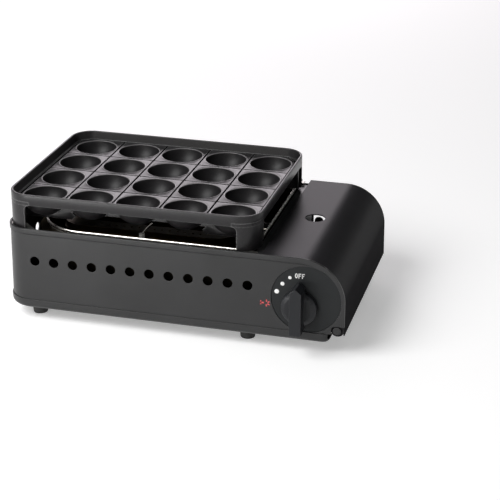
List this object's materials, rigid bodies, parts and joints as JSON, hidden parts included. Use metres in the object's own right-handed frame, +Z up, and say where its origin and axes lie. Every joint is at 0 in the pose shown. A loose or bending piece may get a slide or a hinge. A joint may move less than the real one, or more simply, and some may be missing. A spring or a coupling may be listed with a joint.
{
  "type": "takoyaki maker",
  "caption": "Table-top gas takoyaki maker: cast plate of round cups with a raised rim on a vented body, turning knob in front and a hinged cover over the cartridge bay at the right.",
  "frame": {"origin": "centre of the footprint, on the surface that the rubber feet stand on", "axes": "+X to the right seen from the front, +Y to the back, +Z up"},
  "size_m": [0.348, 0.231, 0.133],
  "materials": {
    "body_paint": "satin black paint",
    "cover_paint": "satin black paint",
    "plate_iron": "non-stick coated casting",
    "foot_rubber": "matt",
    "zinc_steel": "zinc plated",
    "bright_chrome": "bright",
    "burner_steel": "heat-tinted",
    "gas_brass": "plain",
    "knob_plastic": "fine grain",
    "dial_paint": "satin black paint",
    "valve_casting": "die cast",
    "insulator_ceramic": "unglazed",
    "igniter_plastic": "plain",
    "magnet_ferrite": "plain"
  },
  "bodies": {
    "base": {"base_pan": "body_paint", "rubber_feet": "foot_rubber", "foot_screws": "zinc_steel", "pan_screws": "zinc_steel", "body_shell": "body_paint", "shell_brackets": "zinc_steel", "hinge_pins": "body_paint", "hinge_brackets": "zinc_steel", "partition": "body_paint", "drip_tray": "bright_chrome", "tray_supports": "zinc_steel", "tray_screws": "zinc_steel", "plate_rests": "zinc_steel", "burner_upper": "burner_steel", "burner_lower": "burner_steel", "mixing_tube": "bright_chrome", "tube_bracket": "zinc_steel", "burner_brackets": "zinc_steel", "burner_screws": "zinc_steel", "electrode_wire": "bright_chrome", "electrode_insulator": "insulator_ceramic", "electrode_bracket": "zinc_steel", "dial_plate": "dial_paint", "igniter_body": "igniter_plastic", "valve_bracket": "zinc_steel", "valve_body": "valve_casting", "valve_screws": "zinc_steel", "governor_cap": "valve_casting", "governor_screws": "zinc_steel", "cartridge_connector": "gas_brass", "cartridge_seat": "zinc_steel", "cartridge_magnets": "magnet_ferrite", "cartridge_rails": "zinc_steel", "gas_pipe": "gas_brass", "gas_nozzle": "gas_brass"},
    "knob": {"knob": "knob_plastic", "spindle": "zinc_steel", "ignition_cam": "igniter_plastic"},
    "plunger": {"igniter_plunger": "igniter_plastic"},
    "cover": {"cartridge_cover": "cover_paint"},
    "plate": {"takoyaki_plate": "plate_iron"}
  },
  "joints": [
    {"name": "knob_turn", "type": "hinge", "parent": "base", "child": "knob", "pos_m": [0.13, -0.095, 0.048], "axis": [0, -1, 0], "range_deg": [0, 95]},
    {"name": "igniter_slide", "type": "slide", "parent": "base", "child": "plunger", "axis": [-1, 0, 0], "range_m": [0, 0.005]},
    {"name": "cover_hinge", "type": "hinge", "parent": "base", "child": "cover", "pos_m": [0.1666, 0.0097, 0.0263], "axis": [0, 1, 0], "range_deg": [0, 95]},
    {"name": "plate_lift", "type": "slide", "parent": "base", "child": "plate", "axis": [0, 0, 1], "range_m": [0, 0.05]}
  ],
  "couplings": [
    {"joint": "igniter_slide", "follows": "knob_turn", "m_per_rad": 0.003}
  ]
}
